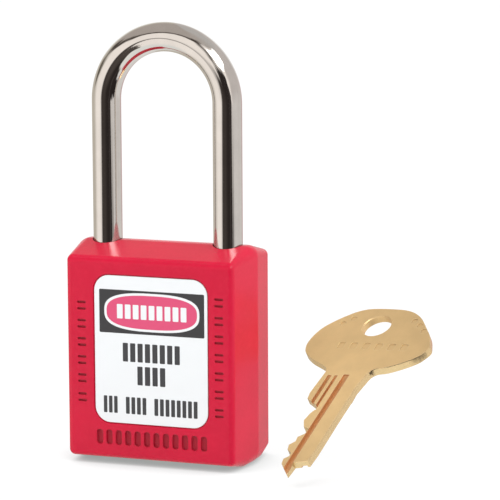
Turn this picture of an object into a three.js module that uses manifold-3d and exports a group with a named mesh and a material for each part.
// Safety padlock: a moulded body, a steel shackle, a pin-tumbler cylinder that works
// two locking bolts, and a key lying beside it on the +X side.
// Millimetres. Origin on the flat ridge of the body top, midway between the shackle
// legs. +Z up along the shackle, front of the body towards -Y.
import * as THREE from "three";
import { mergeVertices } from "three/addons/utils/BufferGeometryUtils.js";
import Module from "manifold-3d";

const wasm = await Module();
wasm.setup();

// ---------- shared dimensions ----------
// Names in _SPAN are [low, high] pairs along one axis.
const SEG = 28; // sides of the shackle rod and other large rounds
const BODY_W = 38.6; // across the side ridges
const BODY_D = 20.6; // front face to back face
const HALF_D = BODY_D / 2;
const BODY_H = 44.3; // top ridge to the flat strip underneath
const UNDER = -46; // a level clear below the body, where cuts from below start
const RECESS = 0.35; // depth of the label seats and of the slots below the front one

const SHACKLE_R = 2.95;
const LEG_X = 13.0; // half the spacing of the legs; the long leg is at -X
const TOE_END = -12.5; // lower end of the short leg

const BOLT_SPAN = [-6.9, -4.3];
const CAM_PIN_R = 0.85;
const CAM_PIN_OFFSET = 3.0; // x and y of each drive pin

const PLUG_R = 6.0;
const CYL_LOW = -40.8;
const CYL_HIGH = -17.0;
const CHAMBER_R = 1.3;
const PIN_Z = row(6, -38.6, 3.3);
const PIN_TIP = [3.7, 3.8, 2.3, 3.3, 2.3, 2.6]; // x of the inner end of each key pin

const COVER_W = 31.0;
const COVER_D = 15.4;
const COVER_CORNER_R = 1.8;
const COVER_HIGH = -41.2;
const COVER_GAP = 0.2; // between the cover and its seat
const RIVET_X = 11.8;
const RIVET_Y = 5.6;
const RIVETS = [RIVET_Y, -RIVET_Y].flatMap((y) => [[-RIVET_X, y], [RIVET_X, y]]);

const LABEL_W = 24.2;
const LABEL_H = 29.9;
const LABEL_R = 3.2;
const LABEL_Z = -20.75;
const FRONT_LABEL_X = 0.3;
const BACK_LABEL_X = 0;

const RETAINER_X = -10.15;
const RETAINER_Z = -15.2;

// ---------- finishes ----------
const RED_PLASTIC = { color: 0xcf2746, metalness: 0 };
const WHITE_PLASTIC = { color: 0xf1f3f5, metalness: 0 };
const STEEL = { color: 0xc9c8c4, metalness: 1 };
const GREY_STEEL = { color: 0x9fa3a8, metalness: 1 };
const DARK_METAL = { color: 0x6d6d70, metalness: 1 };
const BRASS = { color: 0xcda768, metalness: 1 };

// ---------- helpers ----------
function row(count, start, pitch) {
  return Array.from({ length: count }, (_, i) => start + i * pitch);
}

function solid(geometry) {
  geometry.deleteAttribute("normal");
  geometry.deleteAttribute("uv");
  const merged = mergeVertices(geometry, 1e-4);
  return new wasm.Manifold(
    new wasm.Mesh({
      numProp: 3,
      vertProperties: merged.attributes.position.array,
      triVerts: new Uint32Array(merged.index.array),
    }),
  );
}

function fromSolid(shape) {
  const mesh = shape.getMesh();
  const indexed = new THREE.BufferGeometry();
  indexed.setAttribute("position", new THREE.BufferAttribute(mesh.vertProperties, 3));
  indexed.setIndex(new THREE.BufferAttribute(mesh.triVerts, 1));
  const flat = indexed.toNonIndexed();
  flat.computeVertexNormals();
  return flat;
}

function box([x0, x1], [y0, y1], [z0, z1]) {
  const geometry = new THREE.BoxGeometry(x1 - x0, y1 - y0, z1 - z0);
  return solid(geometry.translate((x0 + x1) / 2, (y0 + y1) / 2, (z0 + z1) / 2));
}

function cylZ(radius, [low, high], { x = 0, y = 0, seg = SEG, turn = 0 } = {}) {
  const geometry = new THREE.CylinderGeometry(radius, radius, high - low, seg);
  geometry.rotateX(Math.PI / 2).rotateZ(turn);
  return solid(geometry.translate(x, y, (low + high) / 2));
}

function lathe(profile, seg) {
  return new THREE.LatheGeometry(profile.map(([r, along]) => new THREE.Vector2(r, along)), seg);
}

// [r, z] pairs turned about Z
function turnedZ(profile, seg, x = 0, y = 0) {
  return lathe(profile, seg).rotateX(Math.PI / 2).translate(x, y, 0);
}

function polygon(points) {
  return new THREE.Shape(points.map(([a, b]) => new THREE.Vector2(a, b)));
}

function arcPoints(centreX, centreY, radius, start, step, count) {
  return row(count, start, step).map((a) => [
    centreX + radius * Math.cos(a),
    centreY + radius * Math.sin(a),
  ]);
}

function circle(radius, seg, centreX = 0, centreY = 0) {
  return polygon(arcPoints(centreX, centreY, radius, 0, (2 * Math.PI) / seg, seg));
}

function roundRect(width, height, radius, cornerSteps) {
  const dx = width / 2 - radius;
  const dy = height / 2 - radius;
  const corners = [[dx, dy], [-dx, dy], [-dx, -dy], [dx, -dy]];
  const quarter = Math.PI / 2;
  return polygon(
    corners.flatMap(([x, y], i) =>
      arcPoints(x, y, radius, i * quarter, quarter / cornerSteps, cornerSteps + 1),
    ),
  );
}

// a shape drawn in x and y, given thickness along z
function slabZ(shape, [low, high]) {
  const geometry = new THREE.ExtrudeGeometry(shape, { depth: high - low, bevelEnabled: false });
  return geometry.translate(0, 0, low);
}

// a shape drawn in x and z, given thickness along y
function slabY(shape, [front, back]) {
  return slabZ(shape, [0, back - front]).rotateX(Math.PI / 2).translate(0, back, 0);
}

// A curve stepped evenly in its own parameter instead of by length.
class SteppedCurve extends THREE.Curve {
  getPointAt(t, target) {
    return this.getPoint(t, target);
  }
}

function sweep(section, path, steps) {
  return new THREE.ExtrudeGeometry(section, { steps, extrudePath: path, bevelEnabled: false });
}

class Helix extends SteppedCurve {
  constructor(radius, [low, high], turns) {
    super();
    Object.assign(this, { radius, low, high, turns });
  }
  getPoint(t, target = new THREE.Vector3()) {
    const a = 2 * Math.PI * this.turns * t;
    const z = this.low + (this.high - this.low) * t;
    return target.set(this.radius * Math.cos(a), this.radius * Math.sin(a), z);
  }
}

function coil({ radius, wireR, span, turns, perTurn, sides }) {
  return sweep(circle(wireR, sides), new Helix(radius, span, turns), turns * perTurn);
}

const root = new THREE.Group();
root.name = "safety_padlock";

function add(name, part, finish) {
  const geometry = part.isBufferGeometry ? part : fromSolid(part);
  const mesh = new THREE.Mesh(geometry, new THREE.MeshStandardMaterial(finish));
  mesh.name = name;
  root.add(mesh);
}

// ---------- moulded body ----------
const SIDE_TAPER = 1.5; // each side face, ridge to front or back face
const ROOF_DROP = 2.3; // top ridge down to the front or back face
const RIDGE_FLAT = 0.9; // half width of the flat strip along the top ridge
const BELLY_FLAT = 4.2; // half width of the flat strip underneath
const BELLY_RISE = 1.45; // strip up to the front or back face
const CORNER_R = 2.6; // outline corners at the ridge; they tighten with the side taper
const MIN_CORNER_R = 0.35;
const CORNER_STEPS = 5;
const RIM_R = 1.0; // rounding of the front and back rim
const RIM_STEPS = 4;
const RIM_TOP_FACTOR = 1.25; // rim inset at the top, against the sides
const RIM_BOTTOM_FACTOR = 0.55; // rim inset at the bottom, against the sides

function bodyRing(y) {
  const out = Math.abs(y);
  const intoRim = Math.max(0, out - (HALF_D - RIM_R));
  const inset = RIM_R - Math.sqrt(Math.max(0, RIM_R * RIM_R - intoRim * intoRim));
  const taper = (SIDE_TAPER * out) / HALF_D;
  const drop = (ROOF_DROP * Math.max(0, out - RIDGE_FLAT)) / (HALF_D - RIDGE_FLAT);
  const rise = (BELLY_RISE * Math.max(0, out - BELLY_FLAT)) / (HALF_D - BELLY_FLAT);
  const top = -drop - inset * RIM_TOP_FACTOR;
  const bottom = -BODY_H + rise + inset * RIM_BOTTOM_FACTOR;
  return {
    y,
    halfW: BODY_W / 2 - taper - inset,
    halfH: (top - bottom) / 2,
    midZ: (top + bottom) / 2,
    corner: Math.max(MIN_CORNER_R, CORNER_R - taper - inset),
  };
}

// Outline rings stacked from the front face to the back face.
function bodyOuter() {
  const rimYs = row(RIM_STEPS, 1, 1).map(
    (i) => -HALF_D + RIM_R * (1 - Math.cos((Math.PI / 2) * (i / RIM_STEPS))),
  );
  const frontYs = [-HALF_D, ...rimYs, -BELLY_FLAT, -RIDGE_FLAT];
  const rings = [...frontYs, 0, ...frontYs.map((y) => -y).reverse()].map(bodyRing);

  // A prism of one layer per ring; its 2 x 2 outline has corners of radius 0.5.
  const layers = rings.length - 1;
  const geometry = new THREE.ExtrudeGeometry(roundRect(2, 2, 0.5, CORNER_STEPS), {
    depth: layers,
    steps: layers,
    bevelEnabled: false,
  });
  // Corner arcs take the ring's own radius whatever the size of the ring.
  const stretch = (t, half, corner) => {
    const size = Math.abs(t);
    const straight = half - corner;
    const reach = size <= 0.5 ? (size / 0.5) * straight : straight + ((size - 0.5) / 0.5) * corner;
    return Math.sign(t) * reach;
  };
  const position = geometry.getAttribute("position");
  for (let i = 0; i < position.count; i++) {
    const ring = rings[Math.round(position.getZ(i))];
    const x = stretch(position.getX(i), ring.halfW, ring.corner);
    const z = ring.midZ + stretch(position.getY(i), ring.halfH, ring.corner);
    position.setXYZ(i, x, ring.y, z);
  }
  // Swapping y and z turned the faces inwards; reverse each triangle.
  const order = [];
  for (let i = 0; i < position.count; i += 3) order.push(i, i + 2, i + 1);
  geometry.setIndex(order);
  return solid(geometry);
}

// holes for the legs, the bolts, the cylinder and the retaining pin
function mechanismCuts() {
  const legHoleR = 3.12;
  const holeTop = 2;
  const wellLow = -42; // inside the cover seat, so the well is open at the bottom
  return [
    cylZ(legHoleR, [TOE_END - 0.6, holeTop], { x: LEG_X, turn: Math.PI / SEG }),
    cylZ(legHoleR, [-39.6, holeTop], { x: -LEG_X }),
    // room for the bolts and their guide plate, then for the noses
    box([-9.4, 9.4], [-7.7, 7.7], [-8.8, -3.9]),
    box([-10.6, 10.6], [-2.3, 2.3], [-7.1, -4.1]),
    // cylinder well, round and with room for the pin chambers
    cylZ(7.8, [wellLow, -8.6], { seg: 32 }),
    box([0, 14.95], [-3.6, 3.6], [wellLow, -16.6]),
    // open at the back
    retainerRod(0.95, [-4.7, 11], 12),
  ];
}

function coverCuts() {
  const seat = roundRect(
    COVER_W + 2 * COVER_GAP,
    COVER_D + 2 * COVER_GAP,
    COVER_CORNER_R + COVER_GAP,
    4,
  );
  return [
    solid(slabZ(seat, [UNDER, COVER_HIGH + COVER_GAP])),
    ...RIVETS.map(([x, y]) => cylZ(1.0, [-42, -36.2], { x, y, seg: 12 })),
  ];
}

function labelSeatCuts() {
  const gap = 0.25; // around the label
  const seat = roundRect(LABEL_W + 2 * gap, LABEL_H + 2 * gap, LABEL_R + gap, 5);
  const cut = (x, span) => solid(slabY(seat, span).translate(x, 0, LABEL_Z));
  return [
    cut(FRONT_LABEL_X, [-HALF_D - 1, -HALF_D + RECESS]),
    cut(BACK_LABEL_X, [HALF_D - RECESS, HALF_D + 1]),
  ];
}

// short marks in a column each side of the front label, upright slots below it
function frontMarkCuts() {
  const markW = 1.7;
  const markH = 0.9;
  const markDepth = 0.3;
  const columns = [
    { x: -14.6, heights: [-12.2, -15.9, -19.6, -23.3, -27.0, -30.9] },
    { x: 14.85, heights: row(7, -10.1, -3.7) },
  ];
  const slotW = 1.24;
  const slotSpan = [-40.3, -37.3];
  const slotXs = row(12, FRONT_LABEL_X - 11.2, 2.04);

  const cut = (x, width, depth, span) =>
    box([x - width / 2, x + width / 2], [-HALF_D - 1, -HALF_D + depth], span);
  return [
    ...columns.flatMap(({ x, heights }) =>
      heights.map((z) => cut(x, markW, markDepth, [z - markH / 2, z + markH / 2])),
    ),
    ...slotXs.map((x) => cut(x, slotW, RECESS, slotSpan)),
  ];
}

// a rod along Y on the axis of the retaining pin
function retainerRod(radius, [front, back], seg) {
  const geometry = new THREE.CylinderGeometry(radius, radius, back - front, seg);
  return solid(geometry.translate(RETAINER_X, (front + back) / 2, RETAINER_Z));
}

function bodyShell() {
  const cuts = [...mechanismCuts(), ...coverCuts(), ...labelSeatCuts(), ...frontMarkCuts()];
  return bodyOuter().subtract(wasm.Manifold.union(cuts));
}
add("body_shell", bodyShell(), { ...RED_PLASTIC, roughness: 0.42 });

// ---------- bottom cover and its rivets ----------
// Cut from the body's outer form, so its underside is flush with the body's.
function bottomCover() {
  const holeTop = -40;
  const outline = roundRect(COVER_W, COVER_D, COVER_CORNER_R, 4);
  let cover = bodyOuter().intersect(solid(slabZ(outline, [UNDER, COVER_HIGH])));
  cover = cover.subtract(cylZ(PLUG_R + 0.25, [UNDER, holeTop], { seg: 32 }));
  for (const [x, y] of RIVETS) {
    cover = cover.subtract(cylZ(0.95, [UNDER, holeTop], { x, y, seg: 12 }));
    // room for the rivet head
    cover = cover.subtract(cylZ(1.7, [UNDER, -42.85], { x, y, seg: 16 }));
  }
  return cover;
}
add("bottom_cover", bottomCover(), { ...RED_PLASTIC, roughness: 0.5 });

// [r, z], head at the bottom
const RIVET_PROFILE = [
  [0, -43.6], [1.25, -43.6], [1.5, -43.35], [1.5, -42.9],
  [0.85, -42.9], [0.85, -36.8], [0.5, -36.4], [0, -36.4],
];
RIVETS.forEach(([x, y], i) => {
  const rivet = turnedZ(RIVET_PROFILE, 16, x, y);
  add(`cover_rivet_${i + 1}`, rivet, { ...STEEL, roughness: 0.35 });
});

// ---------- labels ----------
function addLabel(name, x, span) {
  const label = slabY(roundRect(LABEL_W, LABEL_H, LABEL_R, 5), span).translate(x, 0, LABEL_Z);
  add(name, label, { ...WHITE_PLASTIC, roughness: 0.4 });
}
// y of a label's outer and inner face
const LABEL_OUTER_Y = HALF_D - 0.08;
const LABEL_INNER_Y = HALF_D - RECESS + 0.03;
addLabel("front_label", FRONT_LABEL_X, [-LABEL_OUTER_Y, -LABEL_INNER_Y]);
addLabel("back_label", BACK_LABEL_X, [LABEL_INNER_Y, LABEL_OUTER_Y]);

// ---------- shackle ----------
const CLEARANCE = 38.2; // body ridge to the inside of the bow
const BOW_Z = CLEARANCE + SHACKLE_R - LEG_X; // centre of the bow arc
const BOW_STEPS = 26;
const PATH_STEPS = BOW_STEPS + 2; // one more for each straight leg
const HEEL_END = -31.2; // lower end of the long leg
const NOTCH_SPAN = [-10.0, -4.1];
const NOTCH_DEPTH = 1.65;
const NECK_LOW = -29.2;
const NECK_HIGH = -14.2;
const NECK_R = 1.9;

// Up the long leg, over the bow and down the short leg.
class ShacklePath extends SteppedCurve {
  bowAngle(step) {
    return Math.PI - (Math.PI * (step - 1)) / BOW_STEPS;
  }
  getPoint(t, target = new THREE.Vector3()) {
    const step = t * PATH_STEPS;
    if (step <= 1) return target.set(-LEG_X, 0, HEEL_END + step * (BOW_Z - HEEL_END));
    if (step >= PATH_STEPS - 1) {
      return target.set(LEG_X, 0, BOW_Z + (step - PATH_STEPS + 1) * (TOE_END - BOW_Z));
    }
    const a = this.bowAngle(step);
    return target.set(LEG_X * Math.cos(a), 0, BOW_Z + LEG_X * Math.sin(a));
  }
  getTangentAt(t, target = new THREE.Vector3()) {
    const step = t * PATH_STEPS;
    if (step <= 1) return target.set(0, 0, 1);
    if (step >= PATH_STEPS - 1) return target.set(0, 0, -1);
    const a = this.bowAngle(step);
    return target.set(Math.sin(a), 0, -Math.cos(a));
  }
}

// the ring of metal taken off a leg end at height z
function endChamfer(x, z) {
  const size = 0.65;
  const past = 0.12; // the cone runs this far outside the rod
  const kept = [
    [0, z - 2], [SHACKLE_R - size, z - 2], [SHACKLE_R - size, z],
    [SHACKLE_R + past, z + size + past], [SHACKLE_R + past, z + 2], [0, z + 2],
  ];
  return cylZ(4, [z - 1, z + 0.7], { x }).subtract(solid(turnedZ(kept, SEG, x)));
}

function shackle() {
  const rod = solid(sweep(circle(SHACKLE_R, SEG), new ShacklePath(), PATH_STEPS));
  // bolt notch on the inner side of the short leg, mirrored for the long one
  const notch = box([LEG_X - 4, LEG_X - SHACKLE_R + NOTCH_DEPTH], [-4, 4], NOTCH_SPAN);
  // turned neck of the long leg
  const neckCut = cylZ(4, [NECK_LOW, NECK_HIGH], { x: -LEG_X }).subtract(
    cylZ(NECK_R, [NECK_LOW - 1, NECK_HIGH + 1], { x: -LEG_X, seg: 20 }),
  );
  return rod
    .subtract(notch)
    .subtract(notch.mirror([1, 0, 0]))
    .subtract(neckCut)
    .subtract(endChamfer(LEG_X, TOE_END))
    .subtract(endChamfer(-LEG_X, HEEL_END));
}
add("shackle", shackle(), { ...STEEL, roughness: 0.16 });

// beside the neck of the long leg
add("shackle_retaining_pin", retainerRod(0.8, [-4.4, 9.7], 14), { ...STEEL, roughness: 0.35 });

// under the long leg
const shackleSpring = coil({
  radius: 2.3,
  wireR: 0.4,
  span: [-39.1, -31.75],
  turns: 5,
  perTurn: 12,
  sides: 6,
}).translate(-LEG_X, 0, 0);
add("shackle_spring", shackleSpring, { ...GREY_STEEL, roughness: 0.35 });

// ---------- locking bolts ----------
// The right bolt: a nose on the centre line with a slotted arm behind it.
function bolt() {
  const noseX = 11.35;
  const noseHalfW = 1.9;
  const armEndX = 9.3;
  const slotHalfW = CAM_PIN_R + 0.22;
  const lead = 0.4; // bevel on the upper edge of the nose
  const past = 0.3; // overshoot of the bevel cut
  const cutSpan = [-8, -3];
  const top = BOLT_SPAN[1];
  const bevel = polygon([
    [noseX - lead - past, top + past],
    [noseX + past, top - lead - past],
    [noseX + past, top + past],
  ]);
  return box([7.0, noseX], [-noseHalfW, 4.0], BOLT_SPAN)
    .subtract(box([armEndX, 13], [noseHalfW, 5], cutSpan))
    .add(box([0.3, armEndX], [2.1, 6.9], BOLT_SPAN))
    .subtract(box([CAM_PIN_OFFSET - slotHalfW, CAM_PIN_OFFSET + slotHalfW], [1, 5.35], cutSpan))
    .subtract(solid(slabY(bevel, [-3, 3])));
}
add("bolt_right", bolt(), { ...STEEL, roughness: 0.38 });
// turned half round the cylinder axis
add("bolt_left", bolt().rotate([0, 0, 180]), { ...STEEL, roughness: 0.38 });

const guidePlate = solid(slabZ(circle(7.5, 32), [-8.5, -7.3])).subtract(cylZ(5.5, [-9, -7]));
add("bolt_guide_plate", guidePlate, { ...GREY_STEEL, roughness: 0.4 });

// ---------- cam ----------
function cam() {
  const disc = cylZ(5.6, [-11.5, -9.2], { seg: 32 });
  const hub = cylZ(3.2, [-14.4, -11.4], { seg: 20 });
  const drivePins = [CAM_PIN_OFFSET, -CAM_PIN_OFFSET].map((at) =>
    cylZ(CAM_PIN_R, [-9.5, -4.6], { x: at, y: at, seg: 14 }),
  );
  const flat = box([5.0, 7], [-3, 3], [-12, -9]); // on the disc's +X side, mirrored for -X
  return wasm.Manifold.union([disc, hub, ...drivePins])
    .subtract(cylZ(1.2, [-16, -8], { seg: 14 }))
    .subtract(flat)
    .subtract(flat.mirror([1, 0, 0]));
}
add("cam", cam(), { ...DARK_METAL, roughness: 0.45 });

// [r, z], head at the top
const CAM_SCREW_PROFILE = [
  [0, -17.8], [0.7, -17.8], [1.0, -17.4], [1.0, -9.1],
  [1.9, -9.1], [1.9, -8.4], [1.5, -7.9], [0, -7.9],
];
const screwSlot = box([-2.5, 2.5], [-0.25, 0.25], [-8.35, -7]);
const camScrew = solid(turnedZ(CAM_SCREW_PROFILE, 16)).subtract(screwSlot);
add("cam_screw", camScrew, { ...GREY_STEEL, roughness: 0.35 });

// ---------- lock cylinder ----------
// a pin chamber along X
function chamber([x0, x1], z) {
  const geometry = new THREE.CylinderGeometry(CHAMBER_R, CHAMBER_R, x1 - x0, 12);
  return solid(geometry.rotateZ(-Math.PI / 2).translate((x0 + x1) / 2, 0, z));
}

function cylinderHousing() {
  const throughSpan = [CYL_LOW - 1, CYL_HIGH + 1];
  let housing = cylZ(7.4, [CYL_LOW, CYL_HIGH], { seg: 32 });
  housing = housing.add(box([0, 14.6], [-3.3, 3.3], [CYL_LOW, CYL_HIGH]));
  housing = housing.subtract(cylZ(PLUG_R + 0.1, throughSpan, { seg: 32 }));
  for (const z of PIN_Z) housing = housing.subtract(chamber([4, 14.2], z));
  // groove of the chamber cover strip
  return housing.subtract(box([13.5, 15], [-2.3, 2.3], throughSpan));
}
add("cylinder_housing", cylinderHousing(), { ...BRASS, roughness: 0.34 });

const coverStrip = box([13.65, 14.45], [-2.1, 2.1], [CYL_LOW + 0.3, CYL_HIGH - 0.3]);
add("chamber_cover_strip", coverStrip, { ...BRASS, roughness: 0.4 });

// ---------- plug ----------
const PLUG_FACE = -43.9;
const PLUG_EDGE = 0.35; // chamfer round the face
// [r, z], with the clip groove near the top
const PLUG_PROFILE = [
  [0, PLUG_FACE], [PLUG_R - PLUG_EDGE, PLUG_FACE], [PLUG_R, PLUG_FACE + PLUG_EDGE],
  [PLUG_R, -16.75], [4.5, -16.75], [4.5, -15.75],
  [PLUG_R - 0.3, -15.75], [PLUG_R - 0.3, -14.7], [0, -14.7],
];
// [r, z], conical dimple in the middle of the face
const DIMPLE_PROFILE = [
  [0, PLUG_FACE - 0.1], [2.1, PLUG_FACE - 0.1], [1.3, PLUG_FACE + 0.6], [0, PLUG_FACE + 0.6],
];

function plug() {
  // two ribs stand into the keyway, one from each side
  const ribSpan = [PLUG_FACE - 2, -18];
  const keyway = box([-4.2, 4.2], [-1.2, 1.2], [PLUG_FACE - 1, -18.9])
    .subtract(box([0, 1.2], [0.6, 2], ribSpan))
    .subtract(box([-4.5, -2.6], [-2, -0.75], ribSpan));
  let result = solid(turnedZ(PLUG_PROFILE, 32))
    .subtract(keyway)
    .subtract(solid(turnedZ(DIMPLE_PROFILE, 16)))
    .subtract(cylZ(1.1, [-18.1, -14], { seg: 14 })); // hole of the cam screw
  PIN_Z.forEach((z, i) => {
    result = result.subtract(chamber([Math.min(PIN_TIP[i] - 0.5, 3.5), 7], z));
  });
  return result;
}
add("plug", plug(), { ...BRASS, roughness: 0.3 });

// in the groove of the plug, open towards -X
const plugClip = cylZ(6.7, [-16.65, -15.9])
  .subtract(cylZ(4.6, [-18, -15], { seg: 24 }))
  .subtract(box([-8, 0], [-2.6, 2.6], [-18, -15]));
add("plug_clip", plugClip, { ...GREY_STEEL, roughness: 0.35 });

// ---------- pin stacks ----------
const PIN_R = 1.15;
// [r, x] pairs
const keyPinProfile = (tip) => [
  [0, tip], [0.35, tip], [PIN_R, tip + 0.7], [PIN_R, 5.55], [PIN_R - 0.3, 5.8], [0, 5.8],
];
const DRIVER_PROFILE = [
  [0, 6.3], [PIN_R - 0.3, 6.3], [PIN_R, 6.55], [PIN_R, 9.0], [PIN_R - 0.2, 9.2], [0, 9.2],
];
const DRIVER_SPRING = {
  radius: 0.85,
  wireR: 0.16,
  span: [9.45, 13.4], // along x once laid over
  turns: 4,
  perTurn: 7,
  sides: 4,
};

function turnedX(profile, z) {
  return lathe(profile, 12).rotateZ(-Math.PI / 2).translate(0, 0, z);
}

PIN_Z.forEach((z, i) => {
  const n = i + 1;
  const spring = coil(DRIVER_SPRING).rotateY(Math.PI / 2).translate(0, 0, z);
  add(`key_pin_${n}`, turnedX(keyPinProfile(PIN_TIP[i]), z), { ...BRASS, roughness: 0.35 });
  add(`driver_pin_${n}`, turnedX(DRIVER_PROFILE, z), { ...STEEL, roughness: 0.35 });
  add(`driver_spring_${n}`, spring, { ...GREY_STEEL, roughness: 0.35 });
});

// ---------- key ----------
// [along the blade from the tip towards the bow, across it], cut edge on the
// negative side.
const KEY_OUTLINE = [
  [1.2, -1.3], [4.1, -1.0], [4.8, 2.0], [8.0, 2.2], [17.3, 2.1], [23.4, 2.15],
  [23.7, 2.25], [26.3, 2.1], [27.0, 2.2], [30.2, 2.7], [31.4, 3.0], [32.4, 4.0],
  [33.0, 6.2], [34.6, 9.2], [36.3, 11.5], [37.8, 12.5], [39.4, 13.1], [41.0, 12.6],
  [43.2, 11.5], [45.6, 9.6], [47.8, 7.8], [49.2, 6.3], [50.3, 4.4], [50.9, 2.2],
  [51.05, 0.0], [51.1, -2.4], [51.0, -5.0], [50.7, -6.8], [49.9, -8.7], [48.6, -10.5],
  [47.0, -12.3], [44.8, -14.2], [42.6, -15.2], [40.4, -15.6], [38.6, -15.5], [36.7, -14.6],
  [34.9, -12.4], [33.5, -9.7], [32.4, -7.8], [31.2, -7.0], [24.5, -7.5], [22.8, -7.2],
  [20.9, -4.2], [19.7, -3.8], [18.4, -4.4], [16.3, -4.8], [14.5, -3.9], [13.9, -2.4],
  [12.5, -2.6], [11.4, -3.8], [10.2, -3.6], [9.0, -4.6], [7.7, -4.2], [6.7, -2.9],
  [5.8, -2.9], [5.0, -3.8], [3.6, -3.5],
];
const KEY_T = 1.7;
// where the outline's zero lies, and the directions of the blade and the upper face
const KEY_ORIGIN = new THREE.Vector3(33.26, -21.05, -41.25);
const KEY_ALONG = new THREE.Vector3(0.15275371, 0.84715673, 0.50891234).normalize();
const KEY_FACE = new THREE.Vector3(-0.16617001, -0.48560687, 0.8582386).normalize();

// Built flat, upper face at z = 0, with the outline's second number along -Y.
function flatKey() {
  const shape = polygon(KEY_OUTLINE.map(([along, across]) => [along, -across]));
  shape.holes.push(circle(3.1, 24, 45.6, 2.0));
  // milled grooves, two in the upper face and one in the lower face
  return solid(slabZ(shape, [-KEY_T, 0]))
    .subtract(box([-2, 31.5], [0.7, 2.3], [-0.65, 1]))
    .subtract(box([6.0, 30.5], [3.9, 5.1], [-0.55, 1]))
    .subtract(box([-2, 30.0], [-1.7, -0.1], [-3, -KEY_T + 0.5]));
}
const keyAcross = new THREE.Vector3().crossVectors(KEY_FACE, KEY_ALONG).normalize();
const keyPlace = new THREE.Matrix4()
  .makeBasis(KEY_ALONG, keyAcross, KEY_FACE)
  .setPosition(KEY_ORIGIN);
add("key", fromSolid(flatKey()).applyMatrix4(keyPlace), { ...BRASS, roughness: 0.32 });

export default root;
